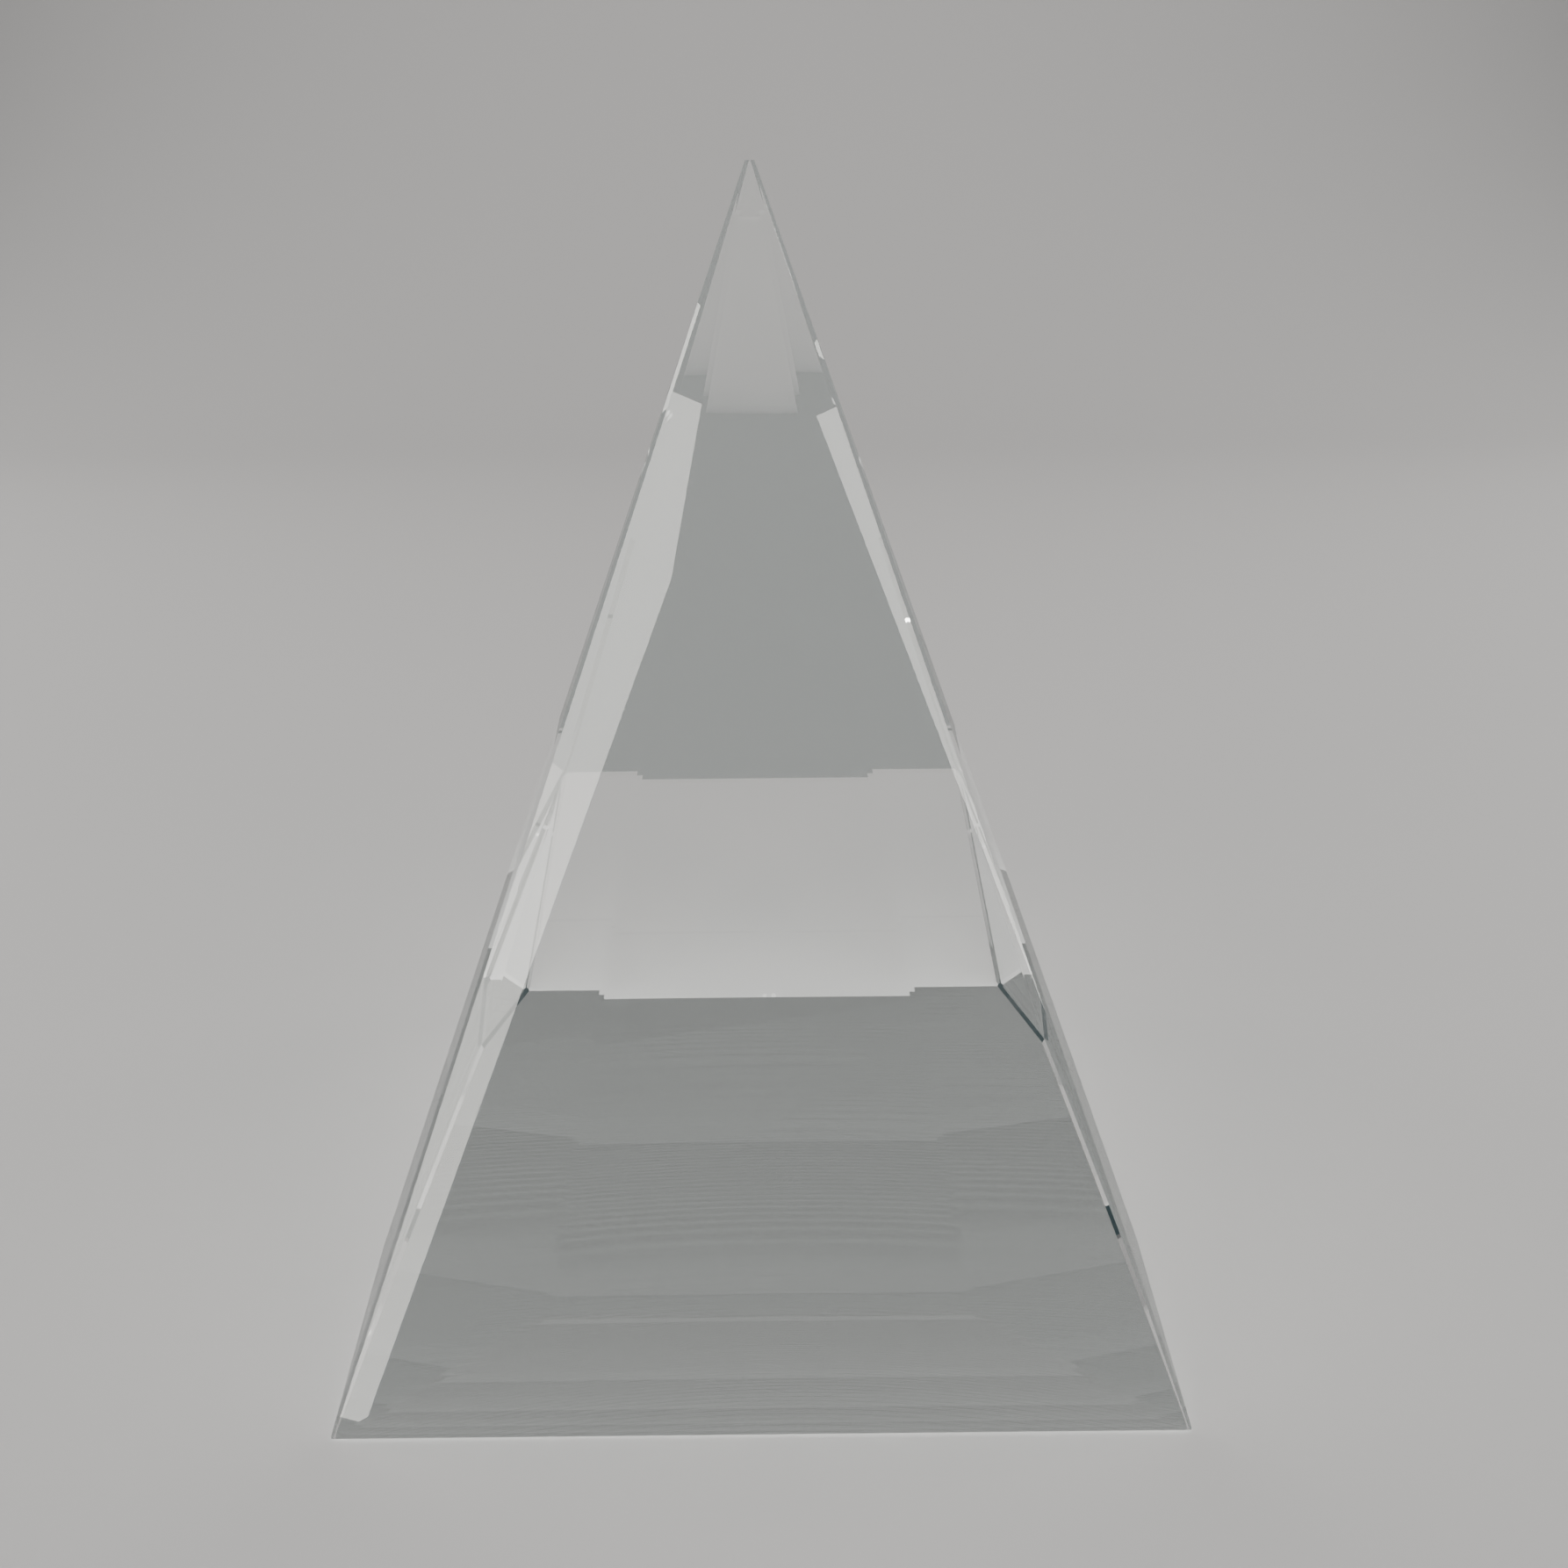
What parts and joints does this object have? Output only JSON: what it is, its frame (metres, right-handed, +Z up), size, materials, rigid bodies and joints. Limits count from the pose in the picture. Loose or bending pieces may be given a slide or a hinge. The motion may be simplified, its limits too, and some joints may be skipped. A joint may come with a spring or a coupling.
{
  "type": "crystal award",
  "caption": "Free-standing faceted peak award, cut from one solid block of clear crystal, with a flat polished underside.",
  "frame": {"origin": "middle of the footprint's bounding box, on the surface that the award stands on", "axes": "+Z up towards the tip, -Y the front, where the tall main face and the skirt facet under it are, +X to the right as seen from the front"},
  "size_m": [0.0996, 0.111, 0.1359],
  "materials": {
    "clear_crystal": "optically clear, flat faces polished to a mirror, fine polished bevels on every edge"
  },
  "bodies": {
    "root": {"crystal_body": "clear_crystal"}
  },
  "joints": []
}
